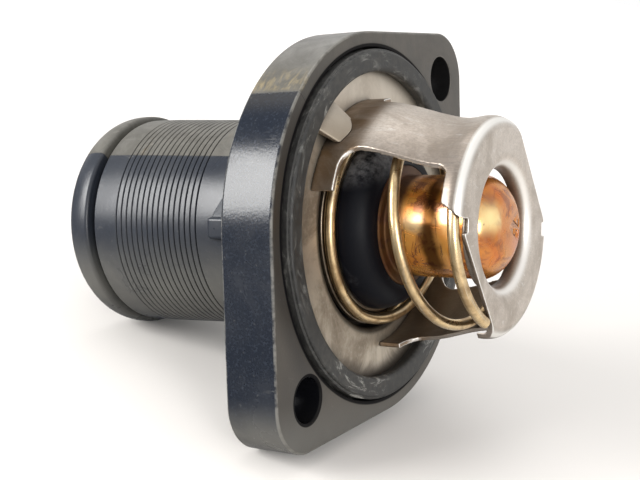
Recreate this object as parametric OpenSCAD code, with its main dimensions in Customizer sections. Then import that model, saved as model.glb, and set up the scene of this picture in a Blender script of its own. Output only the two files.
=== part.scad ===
// Engine thermostat with its plastic outlet housing.
// Millimetres. The part stands on its hose end, with the origin in the middle of that end.
// The shapes are drawn from the flange face, which lies neck_len higher, and lifted into place.

/* [Flange] */
// Radius of the round middle of the flange
flange_r = 33.7; // [31.5:0.1:36]
// Radius of each bolt lobe
lobe_r = 8.7; // [7.5:0.1:10]
// Distance of each bolt hole from the axis
bolt_offset = 36.1; // [34:0.1:39]
// Thickness of the flange
flange_t = 9.8; // [8.5:0.1:12]
// Diameter of the larger bolt hole, on the +X side
bolt_d_large = 8.4; // [7:0.1:9.5]
// Diameter of the smaller bolt hole, on the -X side
bolt_d_small = 7.4; // [6:0.1:9.5]

/* [Hose neck] */
// Outside radius of the neck at the flange
neck_root_r = 18.6; // [18.2:0.1:19.2]
// Outside radius of the neck at the hose end
neck_end_r = 19.7; // [19:0.1:20]
// Inside radius of the water way
neck_bore_r = 16.3; // [15.5:0.1:16.8]
// Depth of the step in the water way where the two mould cores meet
core_step = 0.3; // [0.2:0.05:0.6]
// Length of the part behind the flange face
neck_len = 56.6; // [55.5:0.1:62]
// Radius of the bead that stops the hose from slipping
bead_r = 20.5; // [20:0.1:22]
// Length of the rounded slope from the hose end up to the bead
bead_slope = 4; // [3:0.1:4.6]
// Width of the straight top of the bead
bead_top = 0.7; // [0.4:0.1:1.4]
// Width of the undercut beside the bead
undercut_w = 1.8; // [1:0.1:2.6]
// Depth of the undercut beside the bead
undercut_depth = 1.4; // [0.6:0.1:1.6]
// Number of grip grooves round the neck
groove_count = 16; // [4:1:20]
// Distance from one grip groove to the next
groove_pitch = 1.2; // [0.9:0.05:1.2]
// Depth of a grip groove
groove_depth = 0.35; // [0.1:0.05:0.6]
// Part of the pitch that is left plain between two grooves
groove_plain = 0.74; // [0.3:0.01:0.8]
// Distance of the first grip groove behind the flange face
groove_start = 26.4; // [24:0.1:27.5]

/* [Piston seat in the neck] */
// Number of ribs that carry the piston seat
rib_count = 4; // [3:1:5]
// Thickness of a rib
rib_t = 2.2; // [1.5:0.1:3]
// Length of the ribs along the water way
rib_len = 9; // [6:0.5:11]
// Radius of the hub that holds the piston
hub_r = 4.6; // [3.6:0.1:6]
// Depth of the socket for the piston
socket_depth = 5.5; // [3:0.5:7]
// Free distance between the hub and the guide when the valve is shut
hub_gap = 1; // [0.6:0.1:3]

/* [Seal and seat plate] */
// Outside radius of the flange seal
seal_r = 30.6; // [30:0.1:31]
// Width of the open groove round the top of the seal
seal_gap = 0.3; // [0.2:0.1:0.8]
// Inside radius of the part of the seal above the plate
seal_lip_r = 26.7; // [26:0.1:27.2]
// Height of the seal above the flange face
seal_proud = 1.4; // [1.2:0.1:1.8]
// Depth of the seal pocket in the flange
pocket_depth = 4; // [3.4:0.1:5]
// Depth of the seat plate under the flange face
plate_drop = 1.2; // [0.8:0.1:1.6]
// Thickness of the seat plate
plate_t = 1.2; // [0.8:0.1:1.5]
// Thickness of the seal outside the rim of the seat plate
seal_side = 2.2; // [1.6:0.1:2.8]
// Free distance between the valve disc and the drawn opening of the seat plate
disc_gap = 0.7; // [0.4:0.1:1]
// Radius of the hole inside the valve seat
seat_bore_r = 15; // [14:0.1:15.4]
// Depth of the valve seat under the flange face
seat_drop = 4.6; // [4.2:0.1:5.4]

/* [Bridge frame] */
// Thickness of the frame sheet
sheet_t = 0.85; // [0.7:0.05:1]
// Outside radius of the frame at its feet
foot_r = 22; // [21.6:0.1:23]
// Height of the foot walls above the seat plate
foot_h = 4.2; // [3:0.1:6]
// Half of the angle that a foot covers
foot_half_angle = 34.6; // [24:0.1:38]
// Direction of the middle of the first foot
foot_angle = 79.8; // [60:0.1:100]
// Direction of the middle of the first leg
leg_angle = 76.3; // [70:0.1:84]
// Width of a leg
leg_w = 13.4; // [8:0.1:15]
// Radius of the fillets where a leg meets its foot
foot_fillet_r = 3.2; // [1.5:0.1:4]
// Radius of the fillets where a leg meets the skirt
skirt_fillet_r = 1.8; // [1:0.1:3]
// Free distance between the legs and the coils of the spring
leg_gap = 0.15; // [0.1:0.05:1]
// Height of the top face of the end plate above the flange face
frame_h = 23.95; // [23.5:0.05:26]
// Radius of the bend between the legs and the end plate
shoulder_r = 2.6; // [2.5:0.1:3]
// Height of the lower edge of the skirt under the end plate
skirt_z = 20.4; // [19:0.1:21]
// Free distance between the wax cup and the hole in the end plate
collar_gap = 1.07; // [0.6:0.01:1.4]
// Outside radius of the rolled edge round the hole
collar_bend_r = 2.6; // [1.6:0.1:3]
// Depth of the rolled edge under the top face
collar_depth = 3.4; // [2.8:0.1:5]
// Distance of the two straight edges of the end plate from the axis
chord_offset = 13.7; // [13:0.1:16]
// Direction in which the first straight edge faces
chord_angle = -13.5; // [-20:0.1:0]
// Width of the relief notches beside the straight edges
relief_w = 2.3; // [1:0.1:3]
// Radius that the relief notches reach in to
relief_r = 15.3; // [14.8:0.1:16]
// Radius of the sheet beside the relief notches, where it has no skirt
bare_r = 16.3; // [16.1:0.1:17]

/* [Main spring] */
// Thickness of the spring wire
wire_d = 1.9; // [1.6:0.1:2.2]
// Mean radius of the spring coils
coil_r = 16.6; // [16.4:0.05:16.8]
// Height climbed by one full free coil
coil_pitch = 15.1; // [13:0.1:24]
// Direction at which the wire leaves the bottom coil
coil_start = 199; // [150:1:250]
// Angle covered by the closed coil at the bottom
bottom_turn = 350; // [300:5:355]
// Angle covered by the closed coil at the top
top_turn = 202; // [150:1:300]

/* [Valve] */
// Height of the spring seat of the valve disc under the flange face
disc_drop = 1.3; // [1.2:0.05:1.5]
// Thickness of the valve disc
disc_t = 0.9; // [0.7:0.05:1.1]
// Free distance between the raised middle of the valve disc and the spring round it
step_gap = 0.3; // [0.1:0.05:0.5]
// Distance from the crimped rim to the round edge of the rubber
rubber_rim = 0.45; // [0.3:0.05:1]
// Height of the top of the rubber over the raised middle of the disc
rubber_h = 5.5; // [4:0.1:6]

/* [Capsule] */
// Outside radius of the wax cup
cup_r = 8.73; // [8.2:0.01:9]
// Wall thickness of the wax cup
cup_wall = 0.8; // [0.5:0.05:1]
// Outside radius of the crimped rim of the cup
crimp_r = 10.45; // [10.2:0.05:10.8]
// Height of the upper face of the crimped rim above the flange face
crimp_z = 5.5; // [5.2:0.1:6.5]
// Height of the flat end of the cup above the flange face
cup_top_z = 24.1; // [23:0.1:26]
// Height at which the side of the cup starts to curve in
cup_shoulder_z = 20; // [17:0.1:20.5]
// Radius of the flat end of the cup
cup_flat_r = 4.6; // [3:0.1:6]
// Thickness of the rubber diaphragm
diaphragm_t = 0.8; // [0.5:0.1:1]

/* [Guide and piston] */
// Radius of the piston
piston_r = 1.9; // [1.6:0.05:2.2]
// Radial clearance of the piston in its guide
piston_gap = 0.05; // [0.02:0.01:0.1]
// Outside radius of the guide
guide_r = 4.3; // [3.6:0.1:4.6]
// Outside radius of the shoulder that carries the valve disc
guide_shoulder_r = 5.4; // [5:0.1:6.5]
// Depth of the lower end of the guide under the flange face
guide_drop = 13.4; // [12:0.1:15]
// Length of the rubber plug
plug_len = 3; // [2:0.1:4]
// Thickness of the anti-extrusion washer
washer_t = 0.8; // [0.5:0.1:1.2]

/* [Quality] */
// Number of flats round the large turned shapes
facets = 96; // [48:8:144]
// Number of flats round a full turn of the spring
coil_steps = 36; // [24:4:60]

/* [Hidden] */

edge = 0.01;
plate_z = -plate_drop;
plate_low = plate_z - plate_t;
seat_z = -seat_drop;
disc_z = -disc_drop;
disc_low = disc_z - disc_t;
wire_r = wire_d / 2;
disc_r = coil_r + wire_r;
disc_step_r = coil_r - wire_r - step_gap;
opening_r = disc_r + disc_gap;
leg_top_r = coil_r + wire_r + leg_gap + sheet_t;
collar_r = cup_r + collar_gap;
rubber_top_r = crimp_r + rubber_rim;
plate_r = seal_r - seal_side;
sheet_low = frame_h - sheet_t;

hub_z = -guide_drop - hub_gap;
hub_low = hub_z - rib_len;
piston_low = hub_z - socket_depth;

crimp_t = 2.9;
crimp_low = crimp_z - crimp_t;
crimp_skin = 0.7;
guide_top = crimp_z - crimp_skin - diaphragm_t;
gel_mouth_r = 5.2;
gel_mouth_h = 1.2;
plug_top = guide_top - gel_mouth_h - 0.6;
washer_top = plug_top - plug_len;
piston_top = washer_top - washer_t;

// A point on a circle, as radius and height
function turn_point(r, z, size, angle) = [r + size * cos(angle), z + size * sin(angle)];

// Points along an arc
function arc(r, z, size, from, to, steps) =
    [for (i = [0:steps]) turn_point(r, z, size, from + (to - from) * i / steps)];

// Lifts a shape from the flange face to its place above the hose end
module lifted() {
    translate([0, 0, neck_len]) children();
}

module turned(profile) {
    rotate_extrude($fn = facets) polygon(profile);
}

// A wedge of a disc between two directions
module sector(r, from, to, z, h) {
    steps = 12;
    translate([0, 0, z])
        linear_extrude(height = h)
            polygon(concat([[0, 0]], [for (i = [0:steps])
                let (a = from + (to - from) * i / steps) [r * cos(a), r * sin(a)]]));
}

// Outline of the flange: a round middle, two lobes and the straight sides that touch them
module flange_outline() {
    touch = acos((flange_r - lobe_r) / bolt_offset);
    side = [cos(touch), sin(touch)];
    circle(r = flange_r, $fn = 2 * facets);
    for (s = [-1, 1]) {
        translate([s * bolt_offset, 0]) circle(r = lobe_r, $fn = facets);
        polygon([[s * flange_r * side[0], flange_r * side[1]],
                 [s * (bolt_offset + lobe_r * side[0]), lobe_r * side[1]],
                 [s * (bolt_offset + lobe_r * side[0]), -lobe_r * side[1]],
                 [s * flange_r * side[0], -flange_r * side[1]]]);
    }
}

// Outside radius of the neck at a height, widening a little to the hose end
function neck_r(z) = neck_root_r + (neck_end_r - neck_root_r) * min(1, max(0, (-z - flange_t) / (45 - flange_t)));

bead_root_r = neck_bore_r + 1.9;
bead_slope_z = bead_slope + 0.3 - neck_len;
bead_z = bead_slope_z + bead_top + 0.3;
groove_end = -groove_start - groove_pitch * (groove_count - 1) - groove_pitch / 2;
undercut_z = bead_z + undercut_w;
undercut_r = neck_end_r - undercut_depth;
groove_land = groove_plain * groove_pitch;
core_z = hub_low - 2;
upper_bore_r = neck_bore_r - core_step;

neck_outline = concat(
    [[0, 1 - flange_t], [neck_r(-flange_t) + 1.4, 1 - flange_t], [neck_r(-flange_t) + 1.4, -flange_t]],
    arc(neck_r(-flange_t) + 1.4, -flange_t - 1.4, 1.4, 90, 180, 4),
    [for (i = [0:groove_count - 1]) let (z = -groove_start - groove_pitch * i)
        each [[neck_r(z), z + groove_pitch / 2 - groove_land / 2],
              [neck_r(z) - groove_depth, z],
              [neck_r(z), z - groove_pitch / 2 + groove_land / 2]]],
    [[neck_end_r, groove_end], [neck_end_r, undercut_z], [undercut_r, undercut_z - 0.4],
     [undercut_r, bead_z], [bead_r - 0.3, bead_z], [bead_r, bead_z - 0.3]],
    [for (i = [0:8])
        [bead_root_r + (bead_r - bead_root_r) * cos(11.25 * i), bead_slope_z - bead_slope * sin(11.25 * i)]],
    [[neck_bore_r + 1.5, -neck_len], [0, -neck_len]]);

mouth_r = 22.2;
mouth_z = -7;
pocket_r = seal_r + seal_gap;

// Rib from the back of the flange to a small rounded lug on the neck, with a sloping web beside it
module neck_rib() {
    lug_z = -23.2;
    lug_w = 3.8;
    web_run = 13.8;
    rotate([0, 0, 132]) {
        translate([neck_root_r - 2, 0, 0]) rotate([90, 0, 90]) linear_extrude(height = 3.5) {
            translate([-lug_w / 2, lug_z + 1]) square([lug_w, -lug_z - 1 - flange_t + 1]);
            for (s = [-1, 1]) translate([s * (lug_w / 2 - 1), lug_z + 1]) circle(r = 1, $fn = 24);
            translate([-lug_w / 2 + 1, lug_z]) square([lug_w - 2, 2]);
        }
        intersection() {
            rotate([90, 0, 90]) linear_extrude(height = neck_root_r + 1)
                polygon([[-lug_w / 2, lug_z + 0.3], [-lug_w / 2, -flange_t + 1], [-web_run - 3, -flange_t + 1],
                         [-web_run, -flange_t - 5.7]]);
            difference() {
                translate([0, 0, lug_z]) cylinder(r = neck_root_r + 0.7, h = -lug_z - flange_t + 1, $fn = facets);
                translate([0, 0, lug_z - 1]) cylinder(r = neck_root_r - 1, h = -lug_z, $fn = facets);
            }
        }
    }
}

// The plastic outlet housing: flange, hose neck, piston seat on ribs, small lug at the neck root
module housing() {
    color([0.07, 0.075, 0.085]) lifted()
    difference() {
        union() {
            difference() {
                union() {
                    translate([0, 0, -flange_t]) linear_extrude(height = flange_t) flange_outline();
                    turned(neck_outline);
                    neck_rib();
                }
                turned([[0, 1], [pocket_r, 1], [pocket_r, -pocket_depth], [mouth_r, -pocket_depth],
                        [mouth_r, mouth_z], [upper_bore_r, mouth_z - 5], [upper_bore_r, core_z],
                        [neck_bore_r, core_z], [neck_bore_r, -neck_len + 0.6],
                        [neck_bore_r + 0.6, -neck_len], [neck_bore_r + 0.6, -neck_len - 1], [0, -neck_len - 1]]);
            }
            for (i = [0:rib_count - 1])
                rotate([0, 0, 45 + 360 / rib_count * i])
                    translate([0, -rib_t / 2, hub_low]) cube([neck_bore_r + 1, rib_t, rib_len]);
            translate([0, 0, hub_low]) cylinder(r = hub_r, h = rib_len, $fn = facets / 2);
        }
        translate([0, 0, piston_low]) cylinder(r = piston_r + edge, h = rib_len, $fn = facets / 2);
        translate([bolt_offset, 0, -flange_t - 1])
            cylinder(d = bolt_d_large, h = flange_t + 2, $fn = facets / 2);
        translate([-bolt_offset, 0, -flange_t - 1])
            cylinder(d = bolt_d_small, h = flange_t + 2, $fn = facets / 2);
    }
}

// The rubber seal, folded over the rim of the seat plate, with a fine step round its outer edge
module flange_seal() {
    round_r = 0.9;
    step_in = 0.35;
    step_down = 0.5;
    color([0.05, 0.05, 0.055]) lifted()
    turned(concat(
        [[seal_lip_r, plate_z]],
        arc(seal_lip_r + round_r, seal_proud - round_r, round_r, 180, 90, 5),
        arc(seal_r - step_in - round_r / 2, seal_proud - round_r / 2, round_r / 2, 90, 0, 4),
        [[seal_r - step_in, seal_proud - step_down], [seal_r, seal_proud - step_down - 0.15], [seal_r, plate_low],
         [pocket_r, plate_low - seal_gap], [pocket_r, -pocket_depth], [seal_lip_r - 0.4, -pocket_depth],
         [seal_lip_r - 0.4, plate_low],
         [plate_r, plate_low], [plate_r, plate_z]]));
}

tab_angle = 84;
tab_w = 6.2;
tab_h = 4.3;
tab_run = 4.4;
tab_t = 1.2;
tab_side_h = 2.8;

// The steel plate with the drawn valve seat and the two tabs that hold the frame
module seat_plate() {
    bend = 0.7;
    color([0.62, 0.6, 0.56]) lifted()
    union() {
        turned(concat(
            [[plate_r, plate_low], [plate_r, plate_z]],
            arc(opening_r + bend, plate_z - bend, bend, 90, 180, 5),
            [[opening_r, seat_z], [seat_bore_r, seat_z], [seat_bore_r, seat_z - plate_t],
             [opening_r + plate_t, seat_z - plate_t], [opening_r + plate_t, plate_low]]));
        for (side = [0, 180])
            intersection() {
                rotate([90, 0, 90 + tab_angle + side]) linear_extrude(height = 2 * foot_r)
                    polygon([[-tab_w / 2, plate_low], [-tab_w / 2, plate_z + tab_side_h], [0.2, plate_z + tab_h],
                             [1.2, plate_z + tab_h], [tab_w / 2 - 0.4, plate_z + tab_side_h], [tab_w / 2, plate_low]]);
                rotate_extrude($fn = 1.5 * facets)
                    polygon([[foot_r, plate_z + tab_h - tab_t], [foot_r, plate_z + tab_h],
                             [foot_r + tab_run, plate_z], [foot_r + tab_run, plate_z - plate_t / 2],
                             [foot_r + tab_run - tab_t, plate_z - plate_t / 2]]);
            }
    }
}

foot_top = plate_z + foot_h;
leg_curve_low = 5;
leg_curve_high = 20;
shoulder_at = leg_top_r - shoulder_r;
shoulder_z = frame_h - shoulder_r;
collar_at = collar_r + collar_bend_r;
collar_z = frame_h - collar_bend_r;

// Cross-section of the frame sheet, set in by a distance from its outside
function frame_line(d) = concat(
    [[foot_r - d, plate_z]],
    [for (i = [0:14]) let (t = i / 14)
        [foot_r - d - (foot_r - leg_top_r) * t * t * (3 - 2 * t),
         leg_curve_low + (leg_curve_high - leg_curve_low) * t]],
    arc(shoulder_at, shoulder_z, shoulder_r - d, 0, 90, 8),
    arc(collar_at, collar_z, collar_bend_r - d, 90, 180, 8),
    [[collar_r + d, frame_h - collar_depth]]);

function backwards(list) = [for (i = [len(list) - 1:-1:0]) list[i]];

// Corner piece that a fillet leaves: x and y run away from the corner
module fillet_corner(r) {
    difference() {
        translate([-edge, -edge]) square(r + edge);
        translate([r, r]) circle(r = r, $fn = 40);
    }
}

// Shape of one leg seen from outside: x across, y up
module leg_shape() {
    half = leg_w / 2;
    translate([-half, foot_top - edge]) square([leg_w, frame_h]);
    translate([-foot_r, skirt_z]) square([2 * foot_r, frame_h]);
    for (s = [0, 1]) mirror([s, 0]) {
        translate([half, foot_top]) fillet_corner(foot_fillet_r);
        translate([half, skirt_z]) mirror([0, 1]) fillet_corner(skirt_fillet_r);
    }
}

trim_z = skirt_z - 3;
relief_angle = -38.7;
bare_from = -45;
bare_z = frame_h - 1.55;
bare_slope = 35;
bare_spread = 15;

// The stainless bridge: two feet, two legs and the end plate with its rolled hole, from one sheet
module bridge_frame() {
    color([0.68, 0.67, 0.65]) lifted()
    difference() {
        intersection() {
            rotate_extrude($fn = 1.5 * facets) polygon(concat(frame_line(0), backwards(frame_line(sheet_t))));
            for (side = [0, 180])
                union() {
                    sector(2 * foot_r, foot_angle + side - foot_half_angle, foot_angle + side + foot_half_angle,
                           plate_z, foot_h);
                    rotate([90, 0, 90 + leg_angle + side]) linear_extrude(height = 2 * foot_r) leg_shape();
                }
        }
        for (side = [0, 180])
            rotate([0, 0, chord_angle + side]) {
                translate([chord_offset, -2 * foot_r, trim_z]) cube([foot_r, 4 * foot_r, frame_h]);
                rotate([0, 0, relief_angle]) translate([relief_r, -relief_w / 2, trim_z])
                    cube([foot_r, relief_w, frame_h]);
                difference() {
                    intersection() {
                        sector(2 * foot_r, bare_from - bare_spread, 0, trim_z, frame_h);
                        rotate([0, 0, bare_from]) translate([0, 0, bare_z]) rotate([-bare_slope, 0, 0])
                            translate([0, 0, -foot_r]) cube(2 * foot_r);
                    }
                    translate([0, 0, trim_z - 1]) cylinder(r = bare_r, h = frame_h + 2, $fn = facets);
                }
            }
    }
}

coil_low = disc_z + wire_r;
coil_high = sheet_low - wire_r - 0.9;
climb = (coil_high - coil_low) / coil_pitch * 360;
turn_total = bottom_turn + climb + top_turn;
free_from = turn_total - 84;

// Part of a run that is passed, between 0 and 1
function part(x) = min(1, max(0, x));

// Height of the wire after an angle: closed, climbing, closed, then springing up at its free end
function coil_height(a) = coil_low + (coil_high - coil_low) * part((a - bottom_turn) / climb)
    + 0.4 * part((a - bottom_turn - climb) / (free_from - bottom_turn - climb))
    + 1.4 * part((a - free_from) / (turn_total - free_from));

// The main spring, a round wire swept along its coils
module main_spring() {
    sides = 10;
    rings = ceil(turn_total / 360 * coil_steps);
    points = [for (i = [0:rings], k = [0:sides - 1])
        let (a = turn_total * i / rings,
             around = coil_start - bottom_turn + a,
             r = coil_r + wire_r * cos(360 * k / sides),
             z = coil_height(a) + wire_r * sin(360 * k / sides))
        [r * cos(around), r * sin(around), z]];
    skin = [for (i = [0:rings - 1], k = [0:sides - 1])
        let (a = i * sides + k, b = i * sides + (k + 1) % sides)
        each [[a, b, b + sides], [a, b + sides, a + sides]]];
    caps = [[for (k = [sides - 1:-1:0]) k], [for (k = [0:sides - 1]) rings * sides + k]];
    color([0.66, 0.6, 0.45]) lifted() polyhedron(points = points, faces = concat(skin, caps), convexity = 10);
}

step_z = -0.3;
key_count = 8;
key_r = 0.9;
hub_face = 1.8;
hub_flat_r = 9.8;
hub_bore = guide_r;

// Holes in the sloping part of the disc, through which the rubber holds together
module key_holes(r) {
    key_at = (rubber_top_r + disc_step_r) / 2 - 0.9;
    for (i = [0:key_count - 1])
        rotate([0, 0, 360 / key_count * i]) translate([key_at, 0, step_z - 2])
            cylinder(r = r, h = hub_face - step_z + 3, $fn = 24);
}

// The pressed steel disc that the spring pushes on
module valve_disc() {
    color([0.42, 0.37, 0.3]) lifted()
    difference() {
        turned([[hub_bore, hub_face - disc_t], [hub_bore, hub_face], [hub_flat_r, hub_face],
            [disc_step_r - 1.6, step_z], [disc_step_r, step_z], [disc_step_r, disc_z], [disc_r, disc_z],
            [disc_r, disc_low], [disc_step_r - disc_t, disc_low], [disc_step_r - disc_t, step_z - disc_t],
            [disc_step_r - 2.2, step_z - disc_t], [hub_flat_r - 0.6, hub_face - disc_t]]);
        key_holes(key_r);
    }
}

// The rubber on the valve, moulded through the disc: a black cap above and the sealing bead below
module valve_rubber() {
    bead_in = seat_bore_r + 0.5;
    under_low = disc_low;
    color([0.03, 0.03, 0.04]) lifted()
    union() {
        intersection() {
            key_holes(key_r);
            turned([[0, disc_z], [disc_step_r, disc_z], [disc_step_r, hub_face], [0, hub_face]]);
        }
        turned(concat(
            [[disc_step_r - 1.6, step_z], [disc_step_r - 0.5, step_z]],
            [for (i = [0:8]) [rubber_top_r + (disc_step_r - 0.5 - rubber_top_r) * cos(90 * i / 8),
                              step_z + rubber_h * sin(90 * i / 8)]],
            [[crimp_r, step_z + rubber_h], [crimp_r, crimp_low],
             [guide_shoulder_r + 0.3, crimp_low], [guide_shoulder_r + 0.3, hub_face], [hub_flat_r, hub_face]]));
        turned([[disc_step_r - disc_t, disc_low], [disc_r - 0.2, disc_low], [disc_r - 0.5, seat_z],
                [bead_in, seat_z], [bead_in - 1.4, under_low - 0.6], [hub_flat_r + 0.6, under_low + 0.4],
                [hub_flat_r + 0.6, hub_face - disc_t - 0.9], [disc_step_r - 2.2, step_z - disc_t],
                [disc_step_r - disc_t, step_z - disc_t]]);
    }
}

// Curve of the cup's closed end, set in by the wall thickness: between a straight cone and a quarter round
function cup_dome(d) = [for (i = [0:8])
    let (a = 90 * i / 8, t = i / 8, out = cup_r - d - cup_flat_r, up = cup_top_z - d - cup_shoulder_z)
    [cup_flat_r + out * (0.6 * cos(a) + 0.4 * (1 - t)), cup_shoulder_z + up * (0.6 * sin(a) + 0.4 * t)]];

// The copper cup that holds the wax, crimped round the guide
module capsule_cup() {
    inner = cup_r - cup_wall;
    soft = 0.5;
    color([0.66, 0.36, 0.16]) lifted()
    turned(concat(
        [[crimp_r - crimp_skin, crimp_z - crimp_skin], [crimp_r - crimp_skin, crimp_low + crimp_skin],
         [cup_r, crimp_low + crimp_skin], [cup_r, crimp_low], [crimp_r, crimp_low]],
        arc(crimp_r - soft, crimp_z - soft, soft, 0, 90, 4),
        [[cup_r, crimp_z]],
        cup_dome(0),
        [[0, cup_top_z], [0, cup_top_z - cup_wall]],
        backwards(cup_dome(cup_wall)),
        [[inner, crimp_z - crimp_skin]]));
}

module wax_charge() {
    color([0.86, 0.82, 0.68]) lifted()
    turned(concat(
        [[0, crimp_z - crimp_skin], [cup_r - cup_wall, crimp_z - crimp_skin]],
        cup_dome(cup_wall),
        [[0, cup_top_z - cup_wall]]));
}

module diaphragm() {
    color([0.1, 0.1, 0.11]) lifted()
    translate([0, 0, guide_top]) cylinder(r = crimp_r - crimp_skin, h = diaphragm_t, $fn = facets);
}

module capsule_guide() {
    bore = piston_r + piston_gap;
    color([0.72, 0.56, 0.26]) lifted()
    turned([[bore, -guide_drop], [guide_r, -guide_drop], [guide_r, hub_face], [guide_shoulder_r, hub_face],
            [guide_shoulder_r, crimp_low + crimp_skin], [crimp_r - crimp_skin, crimp_low + crimp_skin],
            [crimp_r - crimp_skin, guide_top], [gel_mouth_r, guide_top], [bore, guide_top - gel_mouth_h]]);
}

module transfer_gel() {
    bore = piston_r + piston_gap;
    color([0.35, 0.45, 0.3]) lifted()
    turned([[0, plug_top], [bore, plug_top], [bore, guide_top - gel_mouth_h], [gel_mouth_r, guide_top], [0, guide_top]]);
}

module rubber_plug() {
    color([0.12, 0.12, 0.12]) lifted()
    translate([0, 0, washer_top]) cylinder(r = piston_r, h = plug_len, $fn = facets / 2);
}

module anti_extrusion_washer() {
    color([0.9, 0.89, 0.85]) lifted()
    translate([0, 0, piston_top]) cylinder(r = piston_r, h = washer_t, $fn = facets / 2);
}

module piston() {
    color([0.72, 0.73, 0.74]) lifted()
    turned([[0, piston_low], [piston_r - 0.3, piston_low], [piston_r, piston_low + 0.3], [piston_r, piston_top],
            [0, piston_top]]);
}

housing();
flange_seal();
seat_plate();
bridge_frame();
main_spring();
valve_disc();
valve_rubber();
capsule_cup();
wax_charge();
diaphragm();
transfer_gel();
rubber_plug();
anti_extrusion_washer();
capsule_guide();
piston();
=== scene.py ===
import bpy
import bmesh
import math
from mathutils import Matrix, Vector, noise
from types import SimpleNamespace as Values


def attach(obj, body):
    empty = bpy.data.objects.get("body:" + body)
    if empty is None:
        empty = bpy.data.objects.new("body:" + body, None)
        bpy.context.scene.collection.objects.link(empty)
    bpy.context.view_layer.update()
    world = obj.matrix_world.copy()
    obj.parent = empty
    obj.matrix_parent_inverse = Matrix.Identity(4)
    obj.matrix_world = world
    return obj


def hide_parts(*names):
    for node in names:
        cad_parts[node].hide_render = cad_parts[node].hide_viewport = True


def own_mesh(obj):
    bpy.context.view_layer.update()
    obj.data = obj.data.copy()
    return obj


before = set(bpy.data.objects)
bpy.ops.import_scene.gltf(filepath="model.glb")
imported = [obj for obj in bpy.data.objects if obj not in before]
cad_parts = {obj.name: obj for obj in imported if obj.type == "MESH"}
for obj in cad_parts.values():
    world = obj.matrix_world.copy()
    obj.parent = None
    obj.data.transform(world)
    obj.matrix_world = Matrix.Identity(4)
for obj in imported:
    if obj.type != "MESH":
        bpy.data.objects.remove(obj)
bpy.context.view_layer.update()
print("Loaded the packed thermostat")

mm = 0.001
neckLen = 56.6                  # height of the flange face; the drawings below count from that face
photoUp = (0.785, 0.618)        # across the axis, up and left as the photo shows them
photoLeft = (-0.655, 0.755)

camera = Values(
    place=(-0.105655, 0.134190, 0.152075),
    right=(0.349786, -0.405461, 0.844542),
    up=(0.785397, 0.618339, -0.028428),
    lens=62.32,
)


def newObject(name, data):
    made = bpy.data.objects.new(name, data)
    bpy.context.scene.collection.objects.link(made)
    return made


# Places a camera or lamp, given its right side and the way that its back looks
def aimed(made, side, back, place):
    turn = Matrix((side, back.cross(side), back)).transposed().to_4x4()
    turn.translation = place
    made.matrix_world = turn


def makeCamera(c):
    data = bpy.data.cameras.new("camera")
    data.lens = c.lens
    data.clip_start = 0.005
    data.clip_end = 20
    made = newObject("camera", data)
    right = Vector(c.right).normalized()
    aimed(made, right, right.cross(Vector(c.up)).normalized(), c.place)
    bpy.context.scene.camera = made


makeCamera(camera)


# Mesh tools

# A place in the drawing, in metres of the frame
def spot(x, y, z):
    return x * mm, y * mm, (z + neckLen) * mm


def meshFrom(name, verts, faces):
    mesh = bpy.data.meshes.new(name)
    mesh.from_pydata(verts, [], faces)
    return mesh


def plainMesh(made):
    bpy.context.view_layer.update()
    deps = bpy.context.evaluated_depsgraph_get()
    return bpy.data.meshes.new_from_object(made.evaluated_get(deps), depsgraph=deps)


def applyModifiers(piece):
    done = plainMesh(piece)
    piece.modifiers.clear()
    piece.data = done


def dress(piece, material):
    piece.data.materials.clear()
    piece.data.materials.append(material)
    return piece


# Opens a mesh for editing, with its doubles closed
def openMesh(mesh, merge=1e-6):
    bm = bmesh.new()
    bm.from_mesh(mesh)
    bmesh.ops.remove_doubles(bm, verts=bm.verts, dist=merge)
    return bm


def closeMesh(bm, mesh):
    bm.to_mesh(mesh)
    bm.free()


# Turns the faces outward and gives flat faces true normals beside rounded edges
def finishPiece(piece, material, sharp=50, merge=1e-6):
    bm = openMesh(piece.data, merge)
    bmesh.ops.recalc_face_normals(bm, faces=bm.faces)
    for face in bm.faces:
        face.smooth = True
    closeMesh(bm, piece.data)
    piece.data.set_sharp_from_angle(angle=math.radians(sharp))
    piece.modifiers.new("weigh", "WEIGHTED_NORMAL").keep_sharp = True
    applyModifiers(piece)
    return dress(piece, material)


# Adds meshes to a piece's own
def addMeshes(piece, *meshes):
    bm = bmesh.new()
    for mesh in (piece.data, *meshes):
        bm.from_mesh(mesh)
    closeMesh(bm, piece.data)


# Bevels the edges of a closed block that are sharper than an angle in radians, and gives its mesh
def bevelledBlock(bm, name, soft, sharper):
    bmesh.ops.recalc_face_normals(bm, faces=bm.faces)
    sharp = [e for e in bm.edges if len(e.link_faces) == 2 and e.calc_face_angle() > sharper]
    bmesh.ops.bevel(bm, geom=sharp, offset=soft * mm, segments=3, profile=0.5, affect="EDGES", clamp_overlap=True)
    mesh = bpy.data.meshes.new(name)
    closeMesh(bm, mesh)
    return mesh


# Rounds the corners of a closed outline, with one radius or one for each corner
def softened(points, size, steps=4):
    tiny, straight, share = 1e-5, 1.5, 0.48
    out = []
    for i, point in enumerate(points):
        here = Vector(point)
        a = Vector(points[i - 1]) - here
        b = Vector(points[(i + 1) % len(points)]) - here
        r = size[i] if isinstance(size, (list, tuple)) else size
        if r <= 0 or min(a.length, b.length, here.x) < tiny or a.angle(b) / 2 > straight:
            out.append(here)
            continue
        half = a.angle(b) / 2
        cut = min(r / math.tan(half), share * a.length, share * b.length)
        centre = here + (a.normalized() + b.normalized()).normalized() * cut / math.cos(half)
        u = here + a.normalized() * cut - centre
        v = here + b.normalized() * cut - centre
        swing = (math.atan2(v.y, v.x) - math.atan2(u.y, u.x) + math.pi) % (2 * math.pi) - math.pi
        out += [centre + Matrix.Rotation(swing * k / steps, 2) @ u for k in range(steps + 1)]
    return out


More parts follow.
